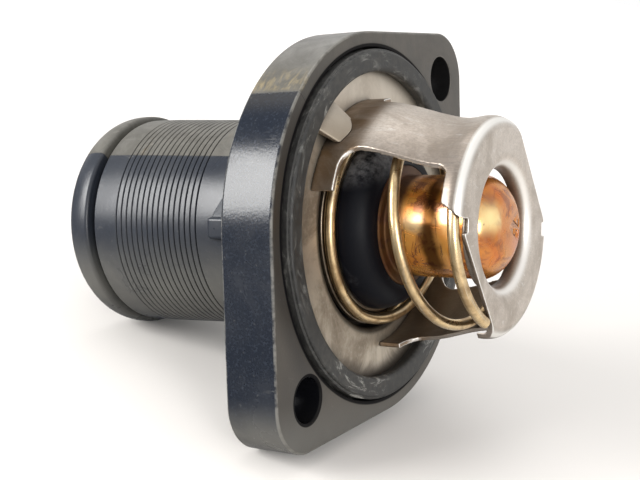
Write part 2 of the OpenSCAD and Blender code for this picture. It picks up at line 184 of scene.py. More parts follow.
# The same for corners that each come with their own radius
def softenedLine(line, steps=4):
    return softened([corner[:2] for corner in line], [corner[2] for corner in line], steps)


def arcPoints(r, z, size, start, end, steps):
    angles = [math.radians(start + (end - start) * i / steps) for i in range(steps + 1)]
    return [(r + size * math.cos(a), z + size * math.sin(a)) for a in angles]


# Adds a ring for each outline point of a turned shape; a point on the axis is one vertex
def addRings(verts, outline, steps, middle=0):
    rings = []
    for r, z in outline:
        count = 1 if r < 1e-4 else steps
        rings.append(list(range(len(verts), len(verts) + count)))
        for k in range(count):
            a = 2 * math.pi * k / steps
            verts.append(spot(middle + r * math.cos(a), r * math.sin(a), z))
    return rings


# Faces between neighbouring rings
def addSkin(faces, rings, whole=False):
    for one, two in zip(rings, rings[1:] + (rings[:1] if whole else [])):
        if len(one) == 1 and len(two) == 1:
            continue
        count = max(len(one), len(two))
        for k in range(count):
            n = (k + 1) % count
            corners = [one[k % len(one)], one[n % len(one)], two[n % len(two)], two[k % len(two)]]
            faces.append([c for i, c in enumerate(corners) if c not in corners[:i]])


# A shape turned round the axis from a closed outline, with its corners rounded
def turnedPiece(name, outline, material, steps=144, soft=0):
    verts, faces = [], []
    addSkin(faces, addRings(verts, softened(outline, soft), steps), True)
    return finishPiece(newObject(name, meshFrom(name, verts, faces)), material)


# A copy of a CAD node's sheet with its cut edges rounded over
def roundedSheet(node, name, material, voxel, passes):
    piece = newObject(name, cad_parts[node].data.copy())
    closeMesh(openMesh(piece.data), piece.data)
    remesh = piece.modifiers.new("remesh", "REMESH")
    remesh.mode = "VOXEL"
    remesh.voxel_size = voxel * mm
    remesh.use_smooth_shade = True
    smooth = piece.modifiers.new("smooth", "SMOOTH")
    smooth.factor = 0.5
    smooth.iterations = passes
    applyModifiers(piece)
    return dress(piece, material)


# Node tools: each adds nodes to one tree and gives back a socket

class Nodes:
    def __init__(self, tree):
        self.tree = tree

    def join(self, value, socket):
        if isinstance(value, bpy.types.NodeSocket):
            self.tree.links.new(value, socket)
        elif value is not None:
            socket.default_value = value

    def add(self, kind, values=None, **settings):
        made = self.tree.nodes.new(kind)
        for key, value in settings.items():
            setattr(made, key, value)
        for key, value in (values or {}).items():
            self.join(value, made.inputs[key])
        return made

    def math(self, operation, *values, clamp=False):
        return self.add("ShaderNodeMath", dict(enumerate(values)), operation=operation, use_clamp=clamp).outputs[0]

    def times(self, value, *others):
        for other in others:
            value = self.math("MULTIPLY", value, other)
        return value

    def plus(self, value, *others):
        for other in others:
            value = self.math("ADD", value, other)
        return value

    def minus(self, a, b):
        return self.math("SUBTRACT", a, b)

    def larger(self, a, b):
        return self.math("MAXIMUM", a, b)

    def length(self, a, b):
        return self.math("SQRT", self.plus(self.times(a, a), self.times(b, b)))

    def vector(self, x, y, z):
        return self.add("ShaderNodeCombineXYZ", {0: x, 1: y, 2: z}).outputs[0]

    def axes(self, vector):
        return self.add("ShaderNodeSeparateXYZ", {0: vector}).outputs

    # DOT_PRODUCT or DISTANCE of two vectors
    def compare(self, operation, a, b):
        return self.add("ShaderNodeVectorMath", {0: a, 1: b}, operation=operation).outputs["Value"]

    def spread(self, value, low, high, start=0, end=1):
        return self.add("ShaderNodeMapRange", {0: value, 1: low, 2: high, 3: start, 4: end},
                        interpolation_type="SMOOTHSTEP").outputs[0]

    def mix(self, amount, a, b, mode="MIX"):
        made = self.add("ShaderNodeMix", {0: amount}, data_type="RGBA", blend_type=mode)
        for value, socket in ((a, made.inputs[6]), (b, made.inputs[7])):
            self.join((*value, 1) if isinstance(value, tuple) else value, socket)
        return made.outputs[2]

    def ray(self, kind):
        return self.add("ShaderNodeLightPath").outputs["Is %s Ray" % kind]

    def shaders(self, amount, a, b):
        return self.add("ShaderNodeMixShader", {0: amount, 1: a, 2: b}).outputs[0]


# A material; x, y, z and away (from the axis) are in mm, with z from the flange face
class Finish(Nodes):
    def __init__(self, name):
        self.material = bpy.data.materials.new(name)
        self.material.use_nodes = True
        super().__init__(self.material.node_tree)
        self.shader = self.tree.nodes["Principled BSDF"]
        self.place = self.add("ShaderNodeTexCoord").outputs["Object"]
        self.x, self.y, high = [self.times(axis, 1 / mm) for axis in self.axes(self.place)[:3]]
        self.z = self.minus(high, neckLen)
        self.away = self.length(self.x, self.y)

    # How far a point lies along a direction across the axis
    def along(self, way):
        return self.plus(self.times(self.x, way[0]), self.times(self.y, way[1]))

    # Place as way round the axis, distance from it and height, so that a pattern can run round the part
    def polar(self, around):
        angle = self.math("ARCTAN2", self.y, self.x)
        return self.vector(self.times(angle, around * mm), self.times(self.away, mm), self.axes(self.place)[2])

    def stretched(self, vector, scale, turn=(0, 0, 0)):
        return self.add("ShaderNodeMapping", {"Vector": vector, "Scale": scale, "Rotation": turn}).outputs[0]

    def noise(self, scale, detail=3, rough=0.5, twist=0, at=None):
        return self.add("ShaderNodeTexNoise", {"Vector": self.place if at is None else at, "Scale": scale,
                                               "Detail": detail, "Roughness": rough, "Distortion": twist}).outputs[0]

    def normal(self):
        return self.add("ShaderNodeNewGeometry").outputs["Normal"]

    def bump(self, height, distance, strength=1, under=None):
        return self.add("ShaderNodeBump", {"Height": height, "Distance": distance * mm,
                                           "Strength": strength, "Normal": under}).outputs[0]

    # 1 on corners and edges within a width, 0 on open faces
    def edgeMask(self, width, low, high):
        soft = self.add("ShaderNodeBevel", {"Radius": width * mm}, samples=6).outputs[0]
        return self.spread(self.minus(1.0, self.compare("DOT_PRODUCT", soft, self.normal())), low, high)

    # Painted shade: 1 in corners and creases, 0 on open faces
    def creviceMask(self, reach):
        free = self.add("ShaderNodeAmbientOcclusion", {"Distance": reach * mm}, samples=8).outputs["AO"]
        return self.spread(free, 0.80, 0.30)

    def tint(self, mask, tone, share=1, mode="MIX"):
        self.color = self.mix(mask if share == 1 else self.times(mask, share), self.color, tone, mode)

    def give(self, name, value):
        self.join(value, self.shader.inputs[name])

    def finished(self, rough, normal, metallic=0):
        self.give("Base Color", self.color)
        self.give("Roughness", rough)
        self.give("Normal", normal)
        self.give("Metallic", metallic)
        return self.material


# Finishes

nylon = Values(
    cold=(0.0065, 0.0090, 0.0150),          # mould half on the -X side
    coldSpeck=(0.034, 0.042, 0.058),
    coldByLine=(0.024, 0.0235, 0.024),
    neck=(0.016, 0.019, 0.026),
    warm=(0.092, 0.087, 0.075),             # mould half on the +X side, rubbed duller
    # painted light: the +X half lighter towards the top
    warmTop=(0.150, 0.145, 0.134),
    warmNeck=(0.112, 0.107, 0.094),
    face=(0.074, 0.064, 0.052),             # flange face, scuffed grey
    # painted shade on the flange face
    faceShade=(0.018, 0.015, 0.012),
    cloud=(0.030, 0.032, 0.036),
    dust=(0.105, 0.102, 0.092),             # painted reflection of the pale table on the lower side of the neck and foot of the rim
    smoke=(0.052, 0.048, 0.040),
    worn=(0.26, 0.25, 0.225),
    brown=(0.12, 0.085, 0.045),
    scrape=(0.30, 0.235, 0.12),             # yellow marks on the rim beside the parting line
    line=(0.012, 0.012, 0.012),
    # painted shade in the grooves, the seal gap and the bolt holes
    groove=(0.008, 0.008, 0.009),
    gap=(0.004, 0.004, 0.005),
    rough=0.31, rimRough=0.23,
    grain=0.028,                            # mm
    lineAt=-0.5, lineWidth=0.10,            # mm, parting line
    neckEnds=(27, 25),                      # mm from the axis, where flange turns into neck
    grip=(-25.7, -45.9),                    # mm from the flange face, band with the grooves
)


def makeNylon(n, h):
    t = Finish("black_nylon")
    trueX, polar = t.x, t.polar(20)
    t.x = t.minus(t.x, n.lineAt)
    height, leftward = t.along(photoUp), t.along(photoLeft)
    grain = t.noise(2400, 2, 0.6)
    clouds = t.noise(70, 5, 0.65, 0.6)
    half = t.spread(t.x, -0.05, 0.05)
    face = t.spread(t.z, -0.3, -0.02)
    neck = t.spread(t.away, *n.neckEnds)

    # The two mould halves and the face
    cold = t.mix(t.spread(t.x, -5, -1, 0, 0.8), n.cold, n.coldByLine)
    cold = t.mix(neck, cold, n.neck)
    cold = t.mix(t.times(t.spread(t.noise(2300, 2, 0.6), 0.50, 0.72), 0.3), cold, n.coldSpeck)
    # The +X half grows lighter towards the top: painted light
    warm = t.mix(t.spread(height, 22, 33), n.warm, n.warmTop)
    warm = t.mix(neck, warm, n.warmNeck)
    # Painted shade on the flange face: its left side, stronger towards the seal
    paintedShadeMask = t.times(t.spread(t.away, 36.4, 32.6, 0.35, 0.85), t.spread(leftward, 13, 29))
    t.color = t.mix(face, t.mix(half, cold, warm), t.mix(paintedShadeMask, n.face, n.faceShade))
    t.tint(t.spread(clouds, 0.42, 0.75, 0, 0.25), n.cloud)

    # Painted reflection of the table on the lower side, smoke and the parting line
    # Painted reflection of the pale table: lighter and mottled on the lower side
    tableSheenMask = t.larger(t.times(t.spread(height, -1, -13), neck), t.spread(height, -27, -35))
    t.tint(t.times(tableSheenMask, t.spread(clouds, 0.25, 0.6, 0.5, 0.9)), n.dust)
    smoke = t.spread(t.noise(210, 5, 0.7, 1.0), 0.36, 0.66)
    t.tint(t.times(smoke, half), n.smoke, 0.6)
    beyond = t.spread(t.math("ABSOLUTE", t.x), 0.3 * n.lineWidth, n.lineWidth)
    line = t.minus(1.0, beyond)
    t.tint(line, n.line, 0.7)

    # Wear: scuffs in patches, rubbed rim edges, fine specks
    scuffs = t.noise(260, 6, 0.72, 1.2, at=t.stretched(t.place, (1.0, 1.0, 0.28)))
    scraped = t.times(t.spread(scuffs, 0.60, 0.70), t.spread(t.noise(34, 2, 0.5), 0.50, 0.66))
    lean = t.math("ABSOLUTE", t.axes(t.normal())[2])
    rounded = t.times(t.spread(lean, 0.12, 0.45), t.spread(lean, 0.985, 0.90),
                      t.spread(t.z, -10.2, -9.8), t.spread(t.away, 32.6, 33.0))
    edges = t.times(rounded, t.spread(t.noise(330, 5, 0.7), 0.36, 0.60))
    wear = t.larger(t.times(scraped, 0.3), t.times(edges, 0.42))
    wear = t.larger(wear, t.times(t.spread(t.noise(1500, 1, 0.5), 0.70, 0.78), 0.07))
    t.tint(wear, n.worn)
    t.tint(t.times(t.spread(t.noise(120, 4, 0.7, 0.8), 0.60, 0.74), half), n.brown, 0.5)
    beside = t.times(t.spread(t.x, 7, 2), t.spread(t.x, 0.2, 0.8), t.spread(t.away, 33.0, 33.4))
    marks = t.noise(620, 4, 0.7, 1.0, at=t.stretched(t.place, (0.5, 0.5, 1.3), (0, 0.4, 0)))
    t.tint(t.times(beside, t.spread(marks, 0.42, 0.74)), n.scrape, 0.5)

    # Painted shade in the bottoms of the grip grooves, in the gap round the seal and in the bolt holes
    start, end = n.grip
    wall = t.add("ShaderNodeMapRange", {0: t.z, 1: -h.thick, 2: h.taperEnd,
                                        3: h.rootR, 4: h.endR}).outputs[0]
    groove = t.times(t.spread(t.minus(wall, t.away), 0.05, 0.16), t.spread(t.away, 17.2, 17.4),
                     t.spread(t.z, start + 0.1, start - 0.1), t.spread(t.z, end - 0.1, end + 0.1))
    t.tint(groove, n.groove, 0.65)
    gap = t.times(t.spread(t.away, 31.75, 31.45), t.spread(t.z, -3, -2))
    bolt = t.length(t.minus(t.math("ABSOLUTE", trueX), h.boltOffset), t.y)
    gap = t.larger(gap, t.spread(bolt, 4.35, 4.22))
    t.tint(gap, n.gap, 0.93)

    dull = t.larger(t.times(groove, 0.65), gap)
    t.give("Specular IOR Level", t.spread(dull, 0, 1, 0.40, 0.03))
    onRim = t.times(t.spread(t.away, 31.5, 32.5), n.rimRough - n.rough)
    rough = t.plus(t.spread(clouds, 0.3, 0.75, n.rough - 0.05, n.rough + 0.08),
                   onRim, t.times(wear, 0.25), t.times(t.larger(half, face), 0.16))
    waves = t.noise(190, 2, at=t.stretched(polar, (1, 1, 0.5)))
    waves = t.bump(waves, 0.06, 0.2, t.bump(grain, n.grain, 0.55))
    return t.finished(rough, t.bump(line, 0.06, 0.8, waves))


rubber = Values(
    seal=(0.019, 0.019, 0.018), sealPale=(0.048, 0.046, 0.042), sealShade=(0.010, 0.010, 0.010),
    chalk=(0.34, 0.335, 0.31),
    # valve rubber smudges, and a painted sheen on its upper and lower side
    valve=(0.0020, 0.0026, 0.0056), smudge=(0.32, 0.32, 0.33),
)


def makeSealRubber(r):
    t = Finish("seal_rubber_worn")
    polar = t.polar(28)
    fine = t.noise(1100, 3, 0.6)
    smear = t.noise(330, 6, 0.75, 1.4, at=t.stretched(polar, (0.5, 1.6, 1)))
    chalk = t.times(t.spread(smear, 0.51, 0.66), t.spread(t.noise(55, 3, 0.6), 0.42, 0.60), 0.8)
    ridge = t.times(t.edgeMask(0.45, 0.04, 0.30), t.spread(fine, 0.3, 0.6), 0.35)
    t.color = t.mix(t.spread(fine, 0.35, 0.7), r.seal, r.sealPale)
    t.tint(t.larger(chalk, ridge), r.chalk)
    # Painted shade on the left side of the seal
    t.tint(t.spread(t.along(photoLeft), 20, 28, 0, 0.5), r.sealShade)
    creases = t.bump(t.noise(420, 3, at=t.stretched(polar, (2.2, 0.5, 1))), 0.06, 0.5)
    return t.finished(t.spread(fine, 0.2, 0.8, 0.46, 0.66), t.bump(fine, 0.04, 0.6, creases))


def makeValveRubber(r):
    t = Finish("valve_rubber_black")
    grey = t.noise(620, 4, 0.7)
    smudge = t.times(t.spread(t.noise(120, 5, 0.7, 1.0), 0.56, 0.80, 0, 0.3), t.spread(grey, 0.35, 0.65))
    # Painted sheen on the upper side, weaker on the lower side, laid over the smudges
    side = t.along((0.55, 0.83))
    paintedSheen = t.larger(t.spread(side, 9, 14), t.spread(side, -12, -16, 0, 0.4))
    smudge = t.larger(smudge, t.times(paintedSheen, t.spread(grey, 0.25, 0.7)))
    t.color = t.mix(t.times(smudge, 0.8), r.valve, r.smudge)
    t.give("Specular IOR Level", 0.18)
    soft = t.bump(t.noise(260, 3), 0.08, 0.4)
    return t.finished(t.spread(smudge, 0, 1, 0.50, 0.6), t.bump(t.noise(1500, 2), 0.02, 0.5, soft))


steel = Values(
    frame=(0.71, 0.64, 0.57), frameDark=(0.46, 0.40, 0.34),
    streak=(0.82, 0.80, 0.77), brush=(0.30, 0.27, 0.24), grain=(0.34, 0.31, 0.28),
    leg=(0.84, 0.83, 0.82), legLow=(0.46, 0.44, 0.425),             # painted shade on the outward faces and on the lower side of the legs
    rustTint=(0.22, 0.14, 0.075),
    # edge: painted highlight on the up-facing bends, and the light worn edges
    edge=(0.86, 0.84, 0.80),
    # inside: painted shade on the inner and downward faces
    inside=(0.13, 0.095, 0.065),
    grime=(0.030, 0.024, 0.018),            # painted shade in the corners
    frameMetal=0.78, plateMetal=0.75,
    plate=(0.56, 0.495, 0.405), plateStain=(0.27, 0.22, 0.165),
    # the plate lighter towards the top as painted light, and painted shade on its left
    plateSpeck=(0.60, 0.56, 0.48), plateTop=(0.68, 0.61, 0.52),
    plateShade=(0.060, 0.054, 0.046), plateEdge=(0.74, 0.70, 0.62),
    # lip: painted shade along the rim beside the seal
    lip=(0.12, 0.10, 0.080),
    # tab: painted shade on the raised tabs
    tab=(0.24, 0.195, 0.145),
)


def makeFrameSteel(s):
    t = Finish("frame_stainless")
    polar = t.polar(20)
    brush = t.noise(5200, 3, 0.65, at=t.stretched(polar, (1, 1, 0.045)))
    streaks = t.noise(900, 5, 0.7, 0.4, at=t.stretched(polar, (1, 0.6, 0.10), (0.25, 0, 0)))
    clouds = t.noise(120, 5, 0.62, 0.8)
    grain = t.noise(2600, 2, 0.6)
    t.color = t.mix(t.spread(clouds, 0.34, 0.72), s.frame, s.frameDark)
    t.tint(t.spread(streaks, 0.56, 0.72, 0, 0.6), s.streak)
    t.tint(t.spread(brush, 0.35, 0.65, 0.32, 0), s.brush)
    t.tint(t.spread(grain, 0.40, 0.70, 0, 0.24), s.grain)
    ragged = t.spread(t.noise(130, 5, 0.7, 1.0), 0.30, 0.62)
    low = t.times(t.spread(t.z, 7.6, 4.2), t.math("MULTIPLY_ADD", ragged, 0.35, 0.55))
    t.tint(t.plus(low, t.times(ragged, 0.05)), s.rustTint)

    # Painted light and shade by the way a face looks: outward faces and the legs' lower side darker, inner and
    # downward faces darker, up-facing bends lighter as a painted highlight
    nx, ny, up = t.axes(t.normal())[:3]
    outward = t.math("DIVIDE", t.plus(t.times(nx, t.x), t.times(ny, t.y)), t.away)
    t.tint(t.spread(outward, 0.25, 0.9), s.leg, mode="MULTIPLY")
    lowLegShadeMask = t.times(t.spread(t.along(photoUp), 21, 7, 0.1, 1), t.spread(t.z, 4, 9))
    t.tint(t.times(t.spread(outward, 0.1, 0.8), lowLegShadeMask), s.legLow, mode="MULTIPLY")
    # Painted highlight on the up-facing bends
    t.tint(t.times(t.spread(up, 0.36, 0.62), t.spread(up, 0.97, 0.75)), s.edge, 0.95)
    # Painted shade on the inner and downward faces
    inner = t.larger(t.spread(outward, -0.72, -0.97), t.spread(up, -0.2, -0.6))
    t.tint(inner, s.inside, 0.75)
    t.tint(t.edgeMask(0.35, 0.05, 0.35), s.edge, 0.8)
    # Painted shade in the corners
    t.tint(t.creviceMask(2.2), s.grime, 0.8)
    rough = t.plus(t.spread(clouds, 0.3, 0.75, 0.36, 0.50), t.spread(streaks, 0.5, 0.75, 0, -0.08))
    dents = t.bump(t.noise(95, 2), 0.22, 0.35, t.bump(brush, 0.024, 0.6))
    return t.finished(rough, t.bump(grain, 0.012, 0.6, dents), s.frameMetal)


def makePlateSteel(s):
    t = Finish("plate_zinc")
    height = t.along(photoUp)
    clouds = t.noise(85, 6, 0.68, 1.0)
    fine = t.noise(1300, 3, 0.65)
    t.color = t.mix(t.spread(clouds, 0.36, 0.66, 0, 0.95), s.plate, s.plateStain)
    t.tint(t.spread(fine, 0.45, 0.75, 0, 0.35), s.plateSpeck)
    # Painted shade on the raised tabs
    t.tint(t.spread(t.z, -1.1, -0.6), s.tab, 0.85)
    # Painted shade: a ragged dark band round the rim beside the seal, stronger towards the lower side
    lip = t.spread(t.plus(t.away, t.times(t.minus(clouds, 0.5), 3)), 23.6, 26.2)
    t.tint(t.times(lip, t.spread(height, 12, 1, 0.05, 0.9)), s.lip)
    # Painted light towards the top and painted shade on the left
    t.tint(t.spread(height, 13, 21, 0, 0.65), s.plateTop)
    t.tint(t.spread(t.along(photoLeft), 19, 27, 0, 0.75), s.plateShade)
    # Worn light edges, brighter towards the top as a painted highlight
    t.tint(t.times(t.edgeMask(0.3, 0.05, 0.35), t.spread(height, 2, 12, 0.1, 0.6)), s.plateEdge)
    # Painted shade in the corners
    t.tint(t.creviceMask(2.5), s.grime, 0.6)
    # Painted shade inside the opening's rim, on its lower side
    wellShade = t.times(t.spread(t.away, 19.7, 18.9), t.spread(height, 9, 4))
    t.tint(wellShade, s.grime, 0.85)
    drawn = t.noise(3200, 3, at=t.stretched(t.polar(25), (0.06, 1, 1)))
    drawn = t.bump(fine, 0.03, 0.6, t.bump(drawn, 0.015, 0.4))
    return t.finished(t.spread(clouds, 0.3, 0.75, 0.42, 0.60), drawn, s.plateMetal)


def makePlainMetal(name, color, dark, rough):
    t = Finish(name)
    clouds = t.noise(160, 5, 0.65, 0.7)
    t.color = t.mix(t.spread(clouds, 0.38, 0.70), color, dark)
    bright = tuple(min(1, 1.5 * v + 0.08) for v in color)
    t.tint(t.edgeMask(0.25, 0.05, 0.35), bright, 0.45)
    drawn = t.noise(3600, 3, at=t.stretched(t.polar(12), (0.05, 1, 1)))
    drawn = t.bump(t.noise(1700, 3, 0.6), 0.015, 0.5, t.bump(drawn, 0.012, 0.5))
    return t.finished(t.spread(clouds, 0.3, 0.7, rough, rough + 0.16), drawn, 1)


copper = Values(
    bright=(0.92, 0.41, 0.070), brown=(0.80, 0.225, 0.028), red=(0.34, 0.100, 0.028),
    dark=(0.045, 0.018, 0.008), gold=(0.90, 0.52, 0.13),
    domeTint=(0.66, 0.54, 0.42),
    metal=0.62, rough=0.19, film=0.19, filmBend=1.9,
    spots=[                                 # painted highlights on the dome and the side, and two darker patches on the dome; place in mm, size, tone, amount
        ((-2.7, 5.9, 80.3), 4.2, (1.0, 0.78, 0.36), 1.0), ((0.4, 7.5, 79.9), 2.6, (0.30, 0.085, 0.03), 0.85),
        ((-5.6, 3.6, 80.1), 2.6, (0.34, 0.10, 0.03), 0.8), ((-6.0, 8.5, 67.4), 3.6, (1.0, 0.80, 0.42), 0.95),
        ((-6.0, 8.5, 73.6), 3.4, (1.0, 0.80, 0.42), 0.95), ((-2.7, 10.0, 67.2), 1.8, (1.0, 0.78, 0.44), 0.9),
    ],
    heatZ=13.6, heatWide=2.1,               # mm over the flange face: a painted dark reflection, a band across the cup's near side
)


def makeCopper(c):
    t = Finish("burnished_copper")
    polar = t.polar(9)
    side = t.spread(t.z, 19.5, 18)
    clouds = t.noise(110, 4, 0.55, 0.5, at=t.stretched(t.place, (1, 1, 0.7)))
    burnt = t.noise(300, 5, 0.66, 0.7, at=t.stretched(t.place, (1, 1, 0.6)))
    t.color = t.mix(t.spread(clouds, 0.40, 0.66, 0, 0.8), c.bright, c.brown)
    t.tint(t.spread(burnt, 0.54, 0.74, 0, 0.6), c.brown)
    t.tint(t.spread(t.noise(95, 3, 0.5, 0.4), 0.50, 0.64), c.gold, 0.55)
    blotch = t.spread(t.noise(260, 4, 0.65, 1.2), 0.50, 0.64)
    t.tint(t.times(blotch, t.spread(t.z, 21, 23, 0.9, 0.7)), c.red)
    t.tint(t.minus(1.0, side), c.domeTint, mode="MULTIPLY")
    # Painted highlights, and two darker patches on the dome
    for middle, size, tone, amount in c.spots:
        off = t.times(t.compare("DISTANCE", t.place, Vector(middle) * mm), 1 / mm)
        off = t.plus(off, t.times(t.minus(burnt, 0.5), size))
        t.tint(t.spread(off, size, 0.05 * size, 0, amount), tone)

    # Painted dark reflections across the near side and on top, dark rim, specks, scratches and painted shade on the
    # floor of the figures
    # Painted dark reflection: a band across the near side that cuts the highlights
    wavy = t.plus(t.math("ABSOLUTE", t.minus(t.z, c.heatZ)), t.times(t.minus(clouds, 0.5), 5))
    paintedDarkReflection = t.times(t.spread(wavy, c.heatWide, 0.2 * c.heatWide), t.spread(t.y, -4.5, 0.5))
    rim = t.spread(t.z, 9.8, 7.8)
    # Painted dark reflection on the upper side of the cup
    paintedTopReflection = t.times(t.spread(t.along((0.35, 1)), 5.5, 8.0), side)
    scratch = t.noise(1500, 3, 0.6, 0.4, at=t.stretched(polar, (0.09, 1, 1.0)))
    scratch = t.times(t.spread(scratch, 0.62, 0.69), side)
    specks = t.spread(t.noise(900, 3, 0.7), 0.67, 0.75)
    # Painted shade on the floor of the stamped figures
    stampShade = t.times(t.spread(t.z, 24.07, 24.03), t.spread(t.away, 4.5, 4.4))
    for mask, amount in ((paintedDarkReflection, 0.92), (paintedTopReflection, 0.15), (rim, 0.93), (specks, 0.7), (scratch, 0.6), (stampShade, 0.8)):
        t.tint(mask, c.dark, amount)

    # A clear film that is thin where the copper is burnt
    film = t.times(t.spread(burnt, 0.42, 0.72, 1.0, 0.3), t.minus(1.0, t.larger(paintedDarkReflection, rim)),
                   t.math("MULTIPLY_ADD", side, 0.65, 0.35))
    t.give("Coat Weight", film)
    t.give("Coat Roughness", c.film)
    t.give("Coat IOR", c.filmBend)
    t.give("Specular IOR Level", t.spread(paintedDarkReflection, 0, 1, 0.5, 0))
    rough = t.plus(t.spread(burnt, 0.4, 0.8, c.rough, c.rough + 0.16), t.times(rim, 0.25))
    rings = t.noise(2600, 3, 0.6, at=t.stretched(polar, (0.05, 1, 1)))
    dents = t.bump(t.noise(180, 2), 0.12, 0.35, t.bump(t.times(rings, side), 0.010, 0.5))
    pitted = t.bump(t.noise(1300, 3, 0.65), 0.022, 0.5, dents)
    return t.finished(rough, t.bump(burnt, 0.035, 0.5, pitted), c.metal)


wire = Values(
    bright=(0.76, 0.57, 0.32), dull=(0.40, 0.27, 0.14),
    shine=(0.80, 0.75, 0.60), spot=(0.09, 0.06, 0.03),
    rough=0.25,
)


def makeSpringSteel(w):
    t = Finish("spring_passivated")
    clouds = t.noise(210, 5, 0.66, 0.8)
    drawn = t.noise(4200, 3, 0.6, at=t.stretched(t.polar(17), (0.03, 1, 0.35)))
    t.color = t.mix(t.spread(clouds, 0.40, 0.70), w.bright, w.dull)
    t.tint(t.spread(drawn, 0.5, 0.75, 0, 0.5), w.shine)
    t.tint(t.spread(t.noise(760, 4, 0.7), 0.65, 0.74), w.spot, 0.7)
    return t.finished(t.spread(clouds, 0.3, 0.7, w.rough, w.rough + 0.16), t.bump(drawn, 0.02, 0.6), 1)


# Rubber, plastic, wax or gel; wax and gel let some light in
def makeSoft(name, color, other, rough, waxy=0.0):
    t = Finish(name)
    clouds = t.noise(240, 5, 0.6, 0.8)
    t.color = t.mix(t.spread(clouds, 0.35, 0.68), color, other)
    if waxy:
        t.give("Subsurface Weight", waxy)
        t.give("Subsurface Radius", (0.001, 0.0008, 0.0005))
        t.give("Subsurface Scale", 0.5)
    return t.finished(t.spread(clouds, 0.3, 0.7, rough, rough + 0.15), t.bump(t.noise(900, 3), 0.05, 0.5))


sealRubber = makeSealRubber(rubber)
valveRubber = makeValveRubber(rubber)
frameSteel = makeFrameSteel(steel)
plateSteel = makePlateSteel(steel)
copperSkin = makeCopper(copper)
springSteel = makeSpringSteel(wire)
discSteel = makePlainMetal("disc_steel_brown", (0.30, 0.25, 0.19), (0.13, 0.10, 0.07), 0.34)
guideBrass = makePlainMetal("guide_brass", (0.70, 0.50, 0.20), (0.40, 0.26, 0.10), 0.28)
pistonSteel = makePlainMetal("piston_ground_steel", (0.68, 0.68, 0.68), (0.50, 0.50, 0.50), 0.18)
waxFinish = makeSoft("wax_cream", (0.80, 0.74, 0.56), (0.66, 0.55, 0.36), 0.45, 0.2)
diaphragmFinish = makeSoft("diaphragm_rubber", (0.05, 0.05, 0.055), (0.08, 0.08, 0.08), 0.5)
gelFinish = makeSoft("transfer_gel", (0.30, 0.36, 0.22), (0.22, 0.28, 0.16), 0.3, 0.2)
plugFinish = makeSoft("plug_rubber", (0.06, 0.06, 0.06), (0.10, 0.10, 0.10), 0.5)
washerFinish = makeSoft("washer_plastic", (0.82, 0.80, 0.74), (0.70, 0.68, 0.62), 0.4)
print("Made the finishes")


# The plastic housing, in one mesh: flange with its holes, seal pocket, water way and grooved neck

housing = Values(
    flangeR=33.685, lobeR=8.7, boltOffset=36.1, thick=9.8, edge=0.55,
    holeLarge=4.2, holeSmall=3.7, holeEdge=0.35,
    pocketR=30.9, pocketDepth=4, mouthR=22.2, mouthZ=-7,
    boreR=16.3, upperBoreR=16.0, coreZ=-25.4,
    rootR=18.6, endR=19.7, taperEnd=-45,
    beadR=20.5, beadFoot=1.9, beadSlope=4, beadTop=1.6, beadZ=-51.0,
    undercutR=18.3, undercutZ=-49.8,
    grooves=16, pitch=1.2, grooveDepth=0.35, grooveWidth=0.312, grooveStart=-26.4,
    hubR=4.6, hubZ=-14.4, hubLen=9, socketR=1.91, socketZ=-19.9,
    ribs=4, ribThick=2.2,
    lugAt=132, lugWidth=3.8, lugZ=-23.2, lugOut=1.5,
    webTop=16.8, webFoot=13.8, webDrop=5.7, webOut=0.7,                 # thin web beside the lug
    sunk=0.8,                                                           # how deep lug and web go into the flange
    turnSteps=144, holeSteps=56,
)
blackNylon = makeNylon(nylon, housing)


def neckRadius(h, z):
    share = (-z - h.thick) / (-h.taperEnd - h.thick)
    return h.rootR + (h.endR - h.rootR) * min(1, max(0, share))


# Outline of the flange with its two lobes, set in by a distance
def flangeLoop(h, inset, z, verts):
    start = len(verts)
    touch = math.degrees(math.acos((h.flangeR - h.lobeR) / h.boltOffset))
    big, small = h.flangeR - inset, h.lobeR - inset
    for middle, r, a, b, steps in ((h.boltOffset, small, -touch, touch, 40), (0, big, touch, 180 - touch, 64),
                                   (-h.boltOffset, small, 180 - touch, 180 + touch, 40),
                                   (0, big, 180 + touch, 360 - touch, 64)):
        verts += [spot(x, y, z) for x, y in arcPoints(middle, 0, r, a, b, steps)]
    return list(range(start, len(verts)))


# From the seal pocket through the water way and round the bead to the back of the flange; each corner
# comes with its radius, and the last ones lie outside the part, where the flange takes over
def neckProfile(h):
    outside = 60
    line = [(h.pocketR, 0, 0.3), (h.pocketR, -h.pocketDepth, 0.3), (h.mouthR, -h.pocketDepth, 0.3),
            (h.mouthR, h.mouthZ, 0.5), (h.upperBoreR, h.mouthZ - 5, 0.8),
            (h.upperBoreR, h.coreZ, 0.1), (h.boreR, h.coreZ, 0.05), (h.boreR, 0.6 - neckLen, 0.3),
            (h.boreR + 0.6, -neckLen, 0.15), (h.boreR + 1.5, -neckLen, 0.2)]
    low, crest, steps = h.boreR + h.beadFoot, h.beadZ - h.beadTop, 14
    for k in range(steps, -1, -1):
        a = math.pi / 2 * k / steps
        line.append((low + (h.beadR - low) * math.cos(a), crest - h.beadSlope * math.sin(a), 0))
    line += [(h.beadR, h.beadZ, 0.8), (h.undercutR, h.beadZ, 0.2),
             (h.undercutR, h.undercutZ - 0.2, 0.3), (h.endR, h.undercutZ, 0.22)]
    half = h.grooveWidth / 2
    for i in range(h.grooves - 1, -1, -1):
        z = h.grooveStart - h.pitch * i
        r = neckRadius(h, z)
        line += [(r, z - half, 0.12), (r - h.grooveDepth, z, 0.05), (r, z + half, 0.12)]
    line += [(h.rootR, -h.thick, 1.4), (outside, -h.thick, 0), (outside, 0, 0)]
    return [p for p in softenedLine(line, 3) if p.x < outside - 10]


